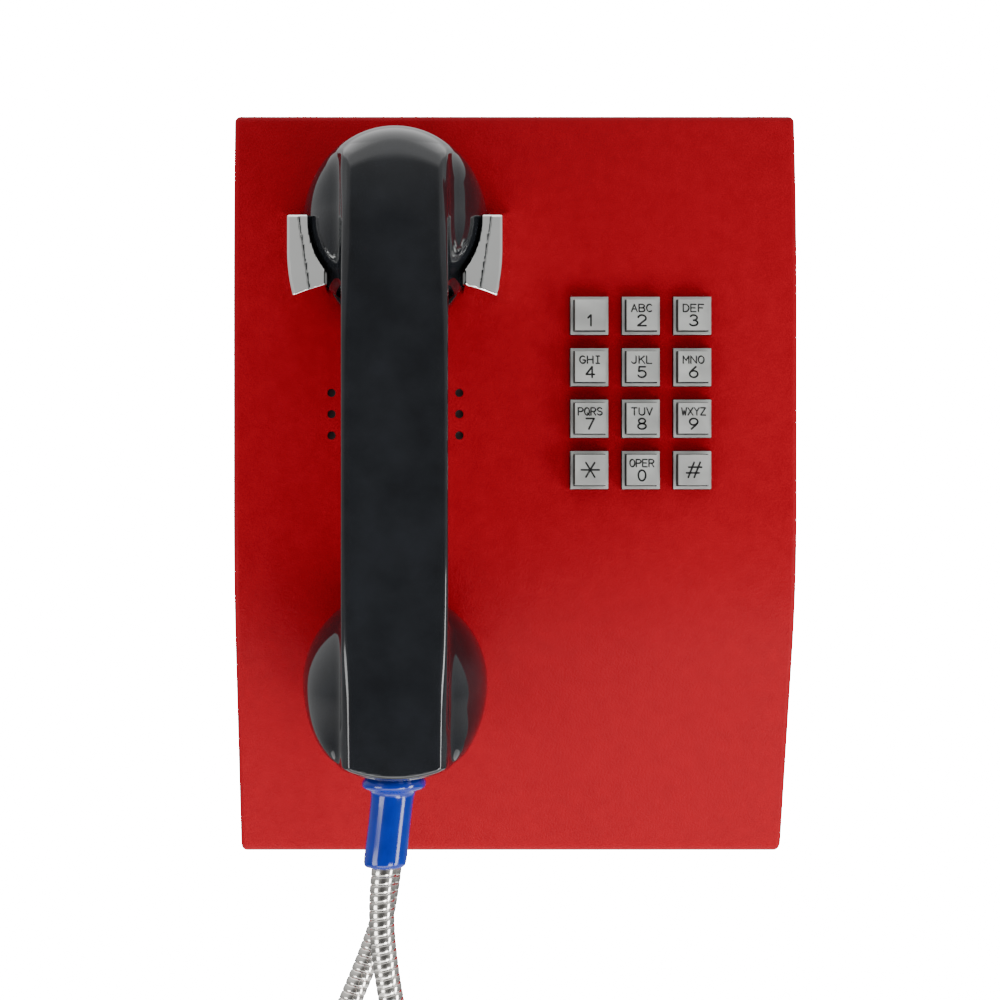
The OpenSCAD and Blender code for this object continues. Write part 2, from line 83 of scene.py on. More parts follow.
# Front and back of the grip: radius, middle height, and how far the centre lies behind the wall
FRONT_ARC_R, FRONT_ARC_Z, FRONT_ARC_BACK = 634.6, 7, 500.1
BACK_ARC_R, BACK_ARC_Z, BACK_ARC_BACK = 320.7, 12, 209.2
TOP_ROLL_H, TOP_ROLL_R = 39.8, 28.0                  # roll of the upper end, along Y and along Z
ROLL_WIDENS, ROLL_START = 1.1, 22                    # how much it rounds sideways, and over what height
ROLL_SCALE = 26                                      # about its radius: turns its ratio into millimetres
LOW_ARC_Z, LOW_ARC_R = -47.6, 42.9                   # arc of the lower end
LOW_ARC_H, LOW_ARC_FLARE = 126, 0.092                # from this H towards the wall it grows by this slope
EAR_FULL, MOUTH_FULL, MOUTH_STRETCH = 1.2, 2.0, 1.10     # how square and how long the domes' outer ends are
MOUTH_PROUD = 0.8                                    # how far the mouth cup may pass the lower arc
BOSS_R, BOSS_LOW, BOSS_HIGH = 9.0, 0.4, 14           # seat of the boot

# Cradle: two prongs, each given by half of it, with X counted from HAND_X
PRONG_RISE, PRONG_FOOT = 33, 61.8
PRONG_HALF, PRONG_TAPER = 38.5, 4.3                  # outer side at the root, and how far it draws in
PRONG_TOP, PRONG_DROP = 93.2, 5.4                    # top at the root, and how far it falls
PRONG_TILT, PRONG_FRONT_X = 0.30, 27                 # slope of the front, which is at full rise at this X
BARREL_Z, BARREL_LEN, BARREL_IN = 77, 15, 2.0        # below this height the outer side curves in
CUP_GAP, CAVITY_H, LIP_R = 0.6, 106.8, 27.9          # room round the cup, the H where it ends, and its lip
CREASE_X, CREASE_Z, CREASE_SLOPE = 30.9, 86.6, 0.176      # slanted edge between the front and the inner face
# The inner face slants with H, and lies in a shallow step of the front
INNER_FACE_H, INNER_FACE_SLOPE, INNER_FACE_T = 109.2, 0.5, 0.5
THROAT_HALF = 21.7
ARCH_R, ARCH_RISE = 92, 6.4                          # hollow between the feet
CRADLE_SINK = 0.3                                    # the casting reaches this far into the panel

# Keypad
PAD_X, PAD_Z, KEY_PITCH = 41.6, 32.4, 17.1
KEY_FACE_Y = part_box("key_5")[0][1] / MM
WINDOW_W = 12.9                                      # collar side and 0.2 mm round it
DIGIT_HALF, LETTER_HALF, HIGHLIGHT_HALF = 0.29, 0.19, 0.16      # half widths of the strokes
HIGHLIGHT_SHIFT = 0.17                                           # how far each stroke's painted highlight strip sits to its upper left
INK_PROUD, INK_SUNK = 0.03, 0.3
HIGHLIGHT_PROUD, HIGHLIGHT_SUNK = 0.015, 0.2

# Cord
BOOT_TOP = Vector((-40.2, -106, -93.2))
BOOT_LEAN = math.radians(6.5)


# ---- camera ----
def make_camera():
    """Level, straight at the wall, and a little left of the middle, which the shift makes up for."""
    data = bpy.data.cameras.new("camera")
    data.lens = 81.07
    data.sensor_width = 36
    data.shift_x = 0.092
    data.shift_y = 0.0
    camera = bpy.data.objects.new("camera", data)
    camera.location = (-0.0358, -0.829, -0.0032)
    camera.rotation_euler = (math.radians(90), 0, 0)
    bpy.context.scene.collection.objects.link(camera)
    bpy.context.scene.camera = camera


# ---- mesh helpers ----
def mesh_object(name, verts, faces, finish, body, smooth=True, normals=None):
    """A mesh piece from points in millimetres, riding on a body."""
    mesh = bpy.data.meshes.new(name)
    points = [tuple(float(c) * MM for c in v) for v in verts]
    mesh.from_pydata(points, [], [tuple(map(int, f)) for f in faces])
    mesh.polygons.foreach_set("use_smooth", [smooth] * len(mesh.polygons))
    mesh.materials.append(finish)
    if normals is not None:
        mesh.normals_split_custom_set_from_vertices([tuple(map(float, n)) for n in normals])
    obj = bpy.data.objects.new(name, mesh)
    bpy.context.scene.collection.objects.link(obj)
    if body:
        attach(obj, body)
    return obj


def apply_modifiers(obj):
    """Bakes the object's modifiers into its mesh."""
    graph = bpy.context.evaluated_depsgraph_get()
    graph.update()
    done = bpy.data.meshes.new_from_object(obj.evaluated_get(graph), depsgraph=graph)
    obj.modifiers.clear()
    obj.data = done


def lathe(profile, origin, axis, sides=64):
    """A turned surface: profile is (radius, distance along axis) pairs, closed at ends of radius 0."""
    axis = Vector(axis).normalized()
    side = axis.orthogonal().normalized()
    across = axis.cross(side)
    verts, faces = [], []
    for r, d in profile:
        for k in range(sides):
            a = 2 * math.pi * k / sides
            verts.append(Vector(origin) + axis * d + (side * math.cos(a) + across * math.sin(a)) * r)
    for i in range(len(profile) - 1):
        for k in range(sides):
            j = (k + 1) % sides
            faces.append((i * sides + k, i * sides + j, (i + 1) * sides + j, (i + 1) * sides + k))
    return verts, faces


def bow(cx, cy, rx, ry, a0, a1, n=10):
    """n + 1 points on an elliptical arc, angles in degrees."""
    angles = [math.radians(a0 + (a1 - a0) * i / n) for i in range(n + 1)]
    return [(cx + rx * math.cos(a), cy + ry * math.sin(a)) for a in angles]


def arc(centre, r, a0, a1, n):
    """n + 1 points on a round arc, angles in degrees."""
    return bow(centre[0], centre[1], r, r, a0, a1, n)


def smooth_route(points, n):
    """Catmull-Rom curve through the points, n steps to each span."""
    p = [np.array(q, float) for q in points]
    out = []
    for i in range(len(p) - 1):
        a, b, c, d = p[max(i - 1, 0)], p[i], p[i + 1], p[min(i + 2, len(p) - 1)]
        for k in range(n):
            t = k / n
            out.append(0.5 * (2 * b + (c - a) * t + (2 * a - 5 * b + 4 * c - d) * t ** 2
                              + (3 * b - a - 3 * c + d) * t ** 3))
    return np.array(out + [p[-1]])


# ---- smooth solids given by a signed distance ----
def smooth_min(a, b, k):
    """The smaller of two distances, blended over a width of k millimetres."""
    h = np.clip(0.5 + 0.5 * (b - a) / k, 0, 1)
    return b * (1 - h) + a * h - k * h * (1 - h)


def smooth_max(a, b, k):
    return -smooth_min(-a, -b, k)


def field_gradient(field, p, e=0.02):
    g = np.empty_like(p)
    for axis in range(3):
        step = np.zeros(3)
        step[axis] = e
        g[:, axis] = (field(p + step) - field(p - step)) / (2 * e)
    return g


def surface_net(field, low, high, step):
    """Quads on the surface where the field is 0: (points, faces, normals), inside negative."""
    axes = [np.arange(a - 2 * step, b + 2.5 * step, step) for a, b in zip(low, high)]
    grid = np.stack(np.meshgrid(*axes, indexing="ij"), -1)
    shape = grid.shape[:3]
    value = np.concatenate([field(chunk.reshape(-1, 3)) for chunk in grid]).reshape(shape)
    inside = value < 0
    cells = tuple(n - 1 for n in shape)
    total, count = np.zeros(cells + (3,)), np.zeros(cells)
    crossings = []
    for axis in range(3):
        first = [slice(None)] * 3
        second = [slice(None)] * 3
        first[axis], second[axis] = slice(0, -1), slice(1, None)
        hit = np.argwhere(inside[tuple(first)] != inside[tuple(second)])
        others = [o for o in range(3) if o != axis]
        keep = np.all([(hit[:, o] > 0) & (hit[:, o] < shape[o] - 1) for o in others], axis=0)
        hit = hit[keep]
        far = hit.copy()
        far[:, axis] += 1
        v0, v1 = value[tuple(hit.T)], value[tuple(far.T)]
        point = grid[tuple(hit.T)].copy()
        point[:, axis] += step * v0 / (v0 - v1)
        for da in (0, 1):
            for db in (0, 1):
                cell = hit.copy()
                cell[:, others[0]] -= da
                cell[:, others[1]] -= db
                np.add.at(total, tuple(cell.T), point)
                np.add.at(count, tuple(cell.T), 1)
        crossings.append((axis, others, hit, v0 < 0))
    used = count > 0
    index = np.full(cells, -1)
    index[used] = np.arange(used.sum())
    points = total[used] / count[used][:, None]
    faces = []
    for axis, others, hit, starts_inside in crossings:
        ring = []
        for da, db in ((0, 0), (1, 0), (1, 1), (0, 1)):
            cell = hit.copy()
            cell[:, others[0]] -= da
            cell[:, others[1]] -= db
            ring.append(index[tuple(cell.T)])
        quad = np.stack(ring, 1)
        flip = starts_inside if axis != 1 else ~starts_inside
        quad[~flip] = quad[~flip][:, ::-1]
        faces.append(quad)
    for _ in range(5):
        g = field_gradient(field, points)
        size = np.maximum((g * g).sum(1, keepdims=True), 0.05)
        points = points - np.clip(field(points)[:, None] * g / size, -step, step)
    g = field_gradient(field, points)
    return points, np.concatenate(faces), g / np.linalg.norm(g, axis=1, keepdims=True)


# ---- materials ----
def material(name, colour, metallic=0.0, roughness=0.5, vary=0.08, rough_vary=0.06, scale=300.0, bump=0.0,
             bump_scale=1500.0, bump_depth=0.00005, specular=0.5):
    """A procedural finish: colour and roughness vary with noise, and a finer noise gives the bump."""
    mat = bpy.data.materials.new(name)
    mat.use_nodes = True
    nodes, links = mat.node_tree.nodes, mat.node_tree.links
    shader = nodes["Principled BSDF"]
    shader.inputs["Metallic"].default_value = metallic
    shader.inputs["Specular IOR Level"].default_value = specular
    place = nodes.new("ShaderNodeTexCoord")
    noise = nodes.new("ShaderNodeTexNoise")
    noise.inputs["Scale"].default_value = scale
    noise.inputs["Detail"].default_value = 4
    links.new(place.outputs["Object"], noise.inputs["Vector"])
    ramp = nodes.new("ShaderNodeValToRGB")
    low = tuple(c * (1 - vary) for c in colour)
    high = tuple(min(1, c * (1 + vary)) for c in colour)
    ramp.color_ramp.elements[0].position = 0.3
    ramp.color_ramp.elements[1].position = 0.7
    ramp.color_ramp.elements[0].color = (*low, 1)
    ramp.color_ramp.elements[1].color = (*high, 1)
    links.new(noise.outputs["Fac"], ramp.inputs["Fac"])
    links.new(ramp.outputs["Color"], shader.inputs["Base Color"])
    spread = nodes.new("ShaderNodeMapRange")
    spread.inputs["To Min"].default_value = max(0.0, roughness - rough_vary)
    spread.inputs["To Max"].default_value = min(1.0, roughness + rough_vary)
    links.new(noise.outputs["Fac"], spread.inputs["Value"])
    links.new(spread.outputs["Result"], shader.inputs["Roughness"])
    if bump:
        grain = nodes.new("ShaderNodeTexNoise")
        grain.inputs["Scale"].default_value = bump_scale
        grain.inputs["Detail"].default_value = 3
        links.new(place.outputs["Object"], grain.inputs["Vector"])
        relief = nodes.new("ShaderNodeBump")
        relief.inputs["Strength"].default_value = bump
        relief.inputs["Distance"].default_value = bump_depth
        links.new(grain.outputs["Fac"], relief.inputs["Height"])
        links.new(relief.outputs["Normal"], shader.inputs["Normal"])
    return mat


FINISH = {
    "red_coat": material(
        "red_coat", (0.270, 0.0022, 0.0080), roughness=0.46, vary=0.05, scale=220, bump=0.6,
        bump_scale=1500, bump_depth=0.00028, specular=0.05),
    "plated_steel": material(
        "plated_steel", (0.55, 0.56, 0.57), metallic=1, roughness=0.32, scale=500, bump=0.1),
    "seal_rubber": material(
        "seal_rubber", (0.03, 0.03, 0.032), roughness=0.75, bump=0.3),
    "chrome": material(
        "chrome", (0.92, 0.93, 0.91), metallic=1, roughness=0.05, vary=0.02, rough_vary=0.02,
        scale=120, bump=0.03, bump_scale=260, bump_depth=0.00008),
    "black_plastic": material(
        "black_plastic", (0.006, 0.006, 0.007), roughness=0.12, vary=0.2, rough_vary=0.04),
    "key_metal": material(
        "key_metal", (0.86, 0.87, 0.84), metallic=1, roughness=0.42, vary=0.10, scale=110,
        bump=0.25, bump_scale=2200, bump_depth=0.00004),
    "circuit_board": material(
        "circuit_board", (0.02, 0.14, 0.05), roughness=0.35, vary=0.2, scale=120),
    "inner_plastic": material(
        "inner_plastic", (0.05, 0.06, 0.07), roughness=0.5, bump=0.2),
    "speaker_wire": material(
        "speaker_wire", (0.10, 0.10, 0.10), metallic=1, roughness=0.5, bump=0.6),
    "brass": material(
        "brass", (0.70, 0.55, 0.25), metallic=1, roughness=0.28, bump=0.1),
    "wiring": material(
        "wiring", (0.08, 0.08, 0.09), roughness=0.6, bump=0.15),
    "handset_plastic": material(
        "handset_plastic", (0.0080, 0.0090, 0.0108), roughness=0.07, vary=0.25,
        rough_vary=0.02, scale=90, bump=0.02, bump_scale=140, bump_depth=0.0001),
    "capsule_metal": material(
        "capsule_metal", (0.45, 0.46, 0.47), metallic=1, roughness=0.35, bump=0.1),
    "blue_boot": material(
        "blue_boot", (0.0, 0.014, 0.23), roughness=0.14, vary=0.12, rough_vary=0.04, scale=160,
        bump=0.05, bump_scale=300, bump_depth=0.0001),
    "hose_steel": material(
        "hose_steel", (0.66, 0.64, 0.60), metallic=1, roughness=0.16, vary=0.08, scale=500,
        bump=0.08, bump_scale=2500, bump_depth=0.00003),
}


def paint_side_shade(mat, amount):
    """Painted shade on faces that look sideways: darkens the base colour of the caps' sides and the gaps
    round them.
    """
    nodes, links = mat.node_tree.nodes, mat.node_tree.links
    shader = nodes["Principled BSDF"]
    colour = shader.inputs["Base Color"].links[0].from_socket
    place = nodes.new("ShaderNodeTexCoord")
    split = nodes.new("ShaderNodeSeparateXYZ")
    links.new(place.outputs["Normal"], split.inputs["Vector"])
    facing = nodes.new("ShaderNodeMath")
    facing.operation = "ABSOLUTE"
    links.new(split.outputs["Y"], facing.inputs[0])
    ramp = nodes.new("ShaderNodeMapRange")
    ramp.inputs["From Min"].default_value = 0.05
    ramp.inputs["From Max"].default_value = 0.45
    ramp.inputs["To Min"].default_value = amount
    ramp.inputs["To Max"].default_value = 0.0
    links.new(facing.outputs["Value"], ramp.inputs["Value"])
    # Painted shade: this near-black colour is mixed into the base colour of faces that look sideways
    mix = nodes.new("ShaderNodeMix")
    mix.data_type = "RGBA"
    for socket in mix.inputs:
        if socket.type == "RGBA" and socket.name == "A":
            links.new(colour, socket)
        if socket.type == "RGBA" and socket.name == "B":
            socket.default_value = (0.012, 0.010, 0.010, 1)
    links.new(ramp.outputs["Result"], mix.inputs["Factor"])
    result = [o for o in mix.outputs if o.type == "RGBA"][0]
    links.new(result, shader.inputs["Base Color"])


def paint_cad():
    """Every CAD node takes the finish of its material slot."""
    # Painted shade on the sideways faces of the key caps
    paint_side_shade(FINISH["key_metal"], 0.92)
    slot_of = {s["node"]: s["material_slot"] for s in frame["record"]["subparts"]}
    for name, obj in NODES.items():
        finish = FINISH[slot_of[name]]
        if not obj.data.materials:
            obj.data.materials.append(finish)
        for s in obj.material_slots:
            s.material = finish


def round_edges(names, width, segments, angle=30):
    """Small rounded edges on CAD nodes, in millimetres."""
    for name in names:
        obj = NODES[name]
        weld = obj.modifiers.new("weld", "WELD")
        weld.merge_threshold = 0.00002
        bevel = obj.modifiers.new("bevel", "BEVEL")
        bevel.width = width * MM
        bevel.segments = segments
        bevel.limit_method = "ANGLE"
        bevel.angle_limit = math.radians(angle)
        bevel.harden_normals = True


# ---- cord: an interlocked steel hose on a free hanging loop ----
ROUTE = [
    (-43.4, -106, -121.6), (-44.1, -106, -130), (-44.2, -105.8, -139), (-43.4, -105.3, -149),
    (-41.9, -104.5, -160), (-39.3, -103.2, -174), (-35.8, -101.4, -189), (-31.5, -99.2, -205),
    (-26.5, -96.8, -222), (-21.5, -94.2, -240), (-17, -91.4, -259), (-13.5, -88.5, -278.5),
    (-11.8, -85.5, -298.5), (-12.5, -82.5, -318.5), (-16, -79.5, -338), (-23, -76.5, -356),
    (-33.5, -73.5, -371.5), (-47.5, -70.5, -382), (-64, -67.5, -385.5), (-80.5, -64.5, -381.5),
    (-94, -61.5, -371), (-103, -58.5, -356), (-107.5, -55.5, -338), (-108, -52.5, -318),
    (-105, -49.5, -298), (-99.8, -46.5, -278), (-92.8, -43.5, -258.5), (-85, -40.5, -240),
    (-77, -37.6, -223), (-69.2, -34.7, -207.5), (-62, -31.9, -193), (-55.5, -29.4, -179),
    (-49.8, -27.3, -165.5), (-45.2, -25.8, -152.5), (-43.1, -25.1, -141.5), (-42, -25, -132.2),
]
HOSE_PITCH = 2.73
HOSE_TUCK = Vector((-42.9, -106, -117.6))         # the hose begins inside the boot
HOSE_ROOT = Vector((GLAND_X, GLAND_Y, -124.5))    # and ends inside the gland
# Radius across one turn of the strip: a crowned band, then a narrow groove
HOSE_BAND = [(0.00, 3.72), (0.03, 3.98), (0.09, 4.08), (0.30, 4.13),
             (0.62, 4.13), (0.84, 4.08), (0.91, 3.98), (0.94, 3.72)]
HOSE_SIDES = 28


def make_hose():
    """The strip is one band swept along the route as a screw, each turn joined to the next by a groove."""
    path = smooth_route([tuple(HOSE_TUCK)] + ROUTE + [tuple(HOSE_ROOT)], 12)
    steps = np.linalg.norm(np.diff(path, axis=0), axis=1)
    along = np.concatenate([[0], np.cumsum(steps)])
    tangent = np.gradient(path, axis=0)
    tangent /= np.linalg.norm(tangent, axis=1)[:, None]
    turns = int((along[-1] - HOSE_PITCH) / HOSE_PITCH)
    total = turns * HOSE_SIDES
    bands = len(HOSE_BAND)
    step, band = np.meshgrid(np.arange(total + 1), np.arange(bands), indexing="ij")
    fraction = np.array([b[0] for b in HOSE_BAND])[band]
    radius = np.array([b[1] for b in HOSE_BAND])[band]
    s = (step / HOSE_SIDES + fraction) * HOSE_PITCH
    angle = 2 * math.pi * step / HOSE_SIDES
    centre = np.stack([np.interp(s, along, path[:, i]) for i in range(3)], -1)
    t = np.stack([np.interp(s, along, tangent[:, i]) for i in range(3)], -1)
    t /= np.linalg.norm(t, axis=-1)[..., None]
    u = np.cross(t, np.array([0.0, 1.0, 0.0]))
    u /= np.linalg.norm(u, axis=-1)[..., None]
    v = np.cross(t, u)
    outwards = np.cos(angle)[..., None] * u + np.sin(angle)[..., None] * v
    verts = (centre + radius[..., None] * outwards).reshape(-1, 3)
    faces = []
    for j in range(total):
        for k in range(bands - 1):
            a = j * bands + k
            faces.append((a, a + 1, a + bands + 1, a + bands))
        if j + HOSE_SIDES <= total - 1:
            a = j * bands + bands - 1
            b = (j + HOSE_SIDES) * bands
            faces.append((a, b, b + bands, a + bands))
    hose = mesh_object("armoured_hose", verts, faces, FINISH["hose_steel"], None)
    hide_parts("armoured_cord")
    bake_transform(hose)


# ---- housing ----
def housing_outline(t):
    """Side outline (y, z) of the housing set in by t, from the top back corner to the bottom one."""
    upper_c = (UPPER_R - BODY_D, UPPER_Z)
    lower_c = (LOWER_R - BODY_D, LOWER_Z)
    slope = (lower_c[0] - LOWER_R * math.cos(LOWER_LEAN), lower_c[1] - LOWER_R * math.sin(LOWER_LEAN))
    top_z = HALF_H - TOP_BEND
    top_c = (upper_c[0] - math.sqrt((UPPER_R - TOP_BEND) ** 2 - (top_z - UPPER_Z) ** 2), top_z)
    top_lean = math.degrees(math.asin((top_z - UPPER_Z) / (UPPER_R - TOP_BEND)))
    low_z = BOTTOM_BEND - HALF_H
    low_y = slope[0] + (BOTTOM_BEND - (low_z - slope[1]) * math.sin(LOWER_LEAN)) / math.cos(LOWER_LEAN)
    lean = math.degrees(LOWER_LEAN)
    return ([(0, HALF_H - t)]
            + arc(top_c, TOP_BEND - t, 90, 180 - top_lean, 8)
            + arc(upper_c, UPPER_R - t, 180 - top_lean + 0.3, 180, 24)
            + arc(lower_c, LOWER_R - t, 180, 180 + lean, 36)
            + arc((low_y, low_z), BOTTOM_BEND - t, 180 + lean, 270, 12)
            + [(0, t - HALF_H)])


def panel_h(z):
    """Depth of the panel's face from the wall at height z, for the cradle's region."""
    curved = np.sqrt(UPPER_R ** 2 - np.maximum(z - UPPER_Z, 0) ** 2) - UPPER_R + BODY_D
    return np.where(z > UPPER_Z, curved, BODY_D)


def housing_skin(wall, back):
    """A closed solid of the housing set in by wall, with its back moved by back: (points, faces)."""
    half = BODY_W / 2 - wall
    bend = SIDE_BEND
    rings = []
    for side in (-1, 1):
        for i in range(BEND_STEPS + 1):
            part = i / BEND_STEPS
            a = math.pi / 2 * (part if side > 0 else 1 - part)
            x = side * (half - bend + bend * math.sin(a))
            inset = wall * 0.99 + min(bend, TOP_BEND - wall - 0.05) * (1 - math.cos(a))
            rings.append([(x, y + (back if y == 0 else 0), z) for y, z in housing_outline(inset)])
    n = len(rings[0])
    verts = [p for ring in rings for p in ring]
    faces = []
    for i in range(len(rings) - 1):
        for k in range(n):
            j = (k + 1) % n
            faces.append((i * n + k, i * n + j, (i + 1) * n + j, (i + 1) * n + k))
    faces.append(tuple(range(n)))
    faces.append(tuple(reversed(range((len(rings) - 1) * n, len(rings) * n))))
    return verts, faces


def box_mesh(low, high):
    x0, y0, z0 = low
    x1, y1, z1 = high
    verts = [(x, y, z) for x in (x0, x1) for y in (y0, y1) for z in (z0, z1)]
    faces = [(0, 1, 3, 2), (4, 6, 7, 5), (0, 4, 5, 1), (2, 3, 7, 6), (0, 2, 6, 4), (1, 5, 7, 3)]
    return verts, faces


def cylinder_mesh(centre, axis, r, length, sides=32):
    verts, faces = lathe([(r, -length / 2), (r, length / 2)], centre, axis, sides)
    faces.append(tuple(reversed(range(sides))))
    faces.append(tuple(range(sides, 2 * sides)))
    return verts, faces


def joined(parts):
    verts, faces = [], []
    for v, f in parts:
        base = len(verts)
        verts += [tuple(p) for p in v]
        faces += [tuple(base + i for i in face) for face in f]
    return verts, faces


def consistent(obj):
    """Turns every face outwards."""
    b = bmesh.new()
    b.from_mesh(obj.data)
    bmesh.ops.recalc_face_normals(b, faces=b.faces)
    b.to_mesh(obj.data)
    b.free()


def true_skin_normals(obj):
    """Shades the outer skin by the outline's own direction, so that cuts leave no streaks on the panel."""
    outline = np.array(housing_outline(0))
    run = np.diff(outline, axis=0)
    size = np.linalg.norm(run, axis=1)
    keep = size > 1e-6
    start, run, size = outline[:-1][keep], run[keep], size[keep]
    out = np.stack([-run[:, 1], run[:, 0]], 1) / size[:, None]
    if out[len(out) // 2, 0] > 0:
        out = -out
    mesh = obj.data
    points = np.empty(len(mesh.vertices) * 3)
    mesh.vertices.foreach_get("co", points)
    points = points.reshape(-1, 3) / MM
    yz = points[:, None, 1:]
    t = np.clip(((yz - start) * run).sum(-1) / size ** 2, 0, 1)
    off = np.linalg.norm(yz - (start + t[..., None] * run), axis=-1)
    near = off.argmin(1)
    rows = np.arange(len(points))
    # Between two segments the direction turns evenly from one to the next
    part = t[rows, near]
    other = np.clip(near + np.where(part > 0.5, 1, -1), 0, len(out) - 1)
    weight = np.abs(part - 0.5)[:, None]
    normal = out[near] * (1 - weight) + out[other] * weight
    normal /= np.linalg.norm(normal, axis=1)[:, None]
    bend = np.clip((np.abs(points[:, 0]) - (BODY_W / 2 - SIDE_BEND)) / SIDE_BEND, 0, 1)
    turn = np.sqrt(1 - bend ** 2)[:, None]
    true = np.concatenate([(np.sign(points[:, 0]) * bend)[:, None], normal * turn], 1)
    on_skin = (off[rows, near] < 0.06) | ((bend > 0) & (off[rows, near] < SIDE_BEND + 0.1))
    corner = np.empty(len(mesh.loops) * 3)
    mesh.corner_normals.foreach_get("vector", corner)
    corner = corner.reshape(-1, 3)
    vertex_of = np.empty(len(mesh.loops), int)
    mesh.loops.foreach_get("vertex_index", vertex_of)
    face_normal = np.empty(len(mesh.polygons) * 3)
    mesh.polygons.foreach_get("normal", face_normal)
    counts = np.empty(len(mesh.polygons), int)
    mesh.polygons.foreach_get("loop_total", counts)
    flat = np.repeat(face_normal.reshape(-1, 3), counts, axis=0)
    agree = (flat * true[vertex_of]).sum(1) > 0.55
    use = on_skin[vertex_of] & agree
    corner[use] = true[vertex_of][use]
    mesh.normals_split_custom_set([tuple(map(float, n)) for n in corner])


def make_housing():
    """The folded cover, hollowed, then cut for the keys, sound holes, lever, gland and screws."""
    verts, faces = housing_skin(0, 0)
    cover = mesh_object("housing_cover", verts, faces, FINISH["red_coat"], None)
    consistent(cover)
    window = WINDOW_W / 2
    cuts = [housing_skin(WALL_T, 5)]
    for c in (-1, 0, 1):
        for r in (-1.5, -0.5, 0.5, 1.5):
            x, z = PAD_X + c * KEY_PITCH, PAD_Z + r * KEY_PITCH
            cuts.append(box_mesh((x - window, CUT_FRONT, z - window), (x + window, CUT_BACK, z + window)))
    for c in range(-3, 4):
        for r in (-1, 0, 1):
            centre = (HAND_X + c * HOLE_PITCH, -PANEL_H, HOLES_Z + r * HOLE_PITCH)
            cuts.append(cylinder_mesh(centre, (0, 1, 0), HOLE_R, 20, 24))
    slot_low = (HAND_X - SLOT_HALF, CUT_FRONT, SLOT_LOW)
    slot_high = (HAND_X + SLOT_HALF, CUT_BACK, SLOT_HIGH)
    cuts.append(box_mesh(slot_low, slot_high))
    cuts.append(cylinder_mesh((GLAND_X, GLAND_Y, -HALF_H), (0, 0, 1), GLAND_HOLE_R, 8))
    for x in (-SCREW_X, SCREW_X):
        for z in (-HALF_H, HALF_H):
            cuts.append(cylinder_mesh((x, SCREW_Y, z), (0, 0, 1), SCREW_HOLE_R, 8))
    for i, (v, f) in enumerate([cuts[0], joined(cuts[1:])]):
        cutter = mesh_object("cutter_%d" % i, v, f, FINISH["red_coat"], None)
        consistent(cutter)
        cut = cover.modifiers.new("cut", "BOOLEAN")
        cut.operation = "DIFFERENCE"
        cut.solver = "EXACT"
        cut.object = cutter
        apply_modifiers(cover)
        bpy.data.objects.remove(cutter)
    soften = cover.modifiers.new("soften", "BEVEL")
    soften.width = 0.25 * MM
    soften.segments = 2
    soften.limit_method = "ANGLE"
    soften.angle_limit = math.radians(50)
    soften.harden_normals = True
    apply_modifiers(cover)
    cover.data.set_sharp_from_angle(angle=math.radians(35))
    true_skin_normals(cover)
    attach(cover, "housing")
    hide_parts("front_shell")


# ---- handset ----
def grip_front(z):
    return np.sqrt(FRONT_ARC_R ** 2 - (z - FRONT_ARC_Z) ** 2) - FRONT_ARC_BACK


def grip_back(z):
    return np.sqrt(BACK_ARC_R ** 2 - (z - BACK_ARC_Z) ** 2) - BACK_ARC_BACK


def dome_field(x, h, z, outward, fullness, stretch=1.0):
    """A cup's dome: an ellipsoid, squarer and stretched towards the handset's end."""
    a, b = CUP_R, DOME_H - RIM_H
    rise = np.clip((z * outward - 2) / 24, 0, 1)
    p = 2 + fullness * rise * rise * (3 - 2 * rise)
    z = np.where(z * outward > 0, z / stretch, z)
    r, q = np.hypot(x, z) / a, np.abs(h - RIM_H) / b
    size = np.maximum((r ** p + q ** p) ** (1 / p), 0.05)
    slope = np.hypot(r ** (p - 1) / a, q ** (p - 1) / b) * size ** (1 - p)
    return (size - 1) / np.maximum(slope, 0.004)


def handset_field(p):
    """The handset's outside: a grip with a rolled upper end and an arc below, joined to two domed cups."""
    x, h, z = np.abs(p[:, 0] - HAND_X), -p[:, 1], p[:, 2]
    front = h - grip_front(z)
    side = x - GRIP_HALF
    run = GRIP_HALF - GRIP_FLAT_HALF
    chamfer = ((x - GRIP_FLAT_HALF) * GRIP_CHAMFER_H + front * run) / math.hypot(GRIP_CHAMFER_H, run)
    section = smooth_max(smooth_max(side, chamfer, 0.8), front, 0.8)
    section = smooth_max(section, grip_back(z) - h, 7)
    # Upper end: rolls over into the ear cup's rim
    past = np.maximum(z - EAR_Z, 0)
    wide = x * ROLL_WIDENS * np.clip(past / ROLL_START, 0, 1)
    roll = (np.hypot(wide, past) / TOP_ROLL_R) ** 4 + (np.maximum(h - RIM_H, 0) / TOP_ROLL_H) ** 4
    roll = (np.maximum(roll, 0.02) ** 0.25 - 1) * ROLL_SCALE
    # Lower end: a flat arc that widens towards the mouth cup
    low = np.minimum(z - LOW_ARC_Z, 0)
    end = np.hypot(x, low) - (LOW_ARC_R + (LOW_ARC_H - h) * LOW_ARC_FLARE)
    end = np.maximum(end, np.hypot(x, np.minimum(z - MOUTH_Z, 0)) - (CUP_R - 0.3))
    grip = smooth_max(smooth_max(section, roll, 1.5), np.where(z < 0, end, -20.0), 1.2)
    mouth = dome_field(x, h, z - MOUTH_Z, -1, MOUTH_FULL, MOUTH_STRETCH)
    mouth = smooth_max(mouth, np.hypot(x, low) - LOW_ARC_R - MOUTH_PROUD, 1.0)
    whole = smooth_min(grip, dome_field(x, h, z - EAR_Z, 1, EAR_FULL), 3.5)
    whole = smooth_min(whole, mouth, 2.5)
    lean = np.array([math.sin(BOOT_LEAN), 0, math.cos(BOOT_LEAN)])
    rel = p - np.array(BOOT_TOP)
    along = rel @ lean
    off = np.linalg.norm(rel - along[:, None] * lean, axis=1)
    boss = smooth_max(off - BOSS_R, np.maximum(BOSS_LOW - along, along - BOSS_HIGH), 0.8)
    whole = smooth_min(whole, boss, 1.5)
    return smooth_max(whole, RIM_H - h, 0.5)


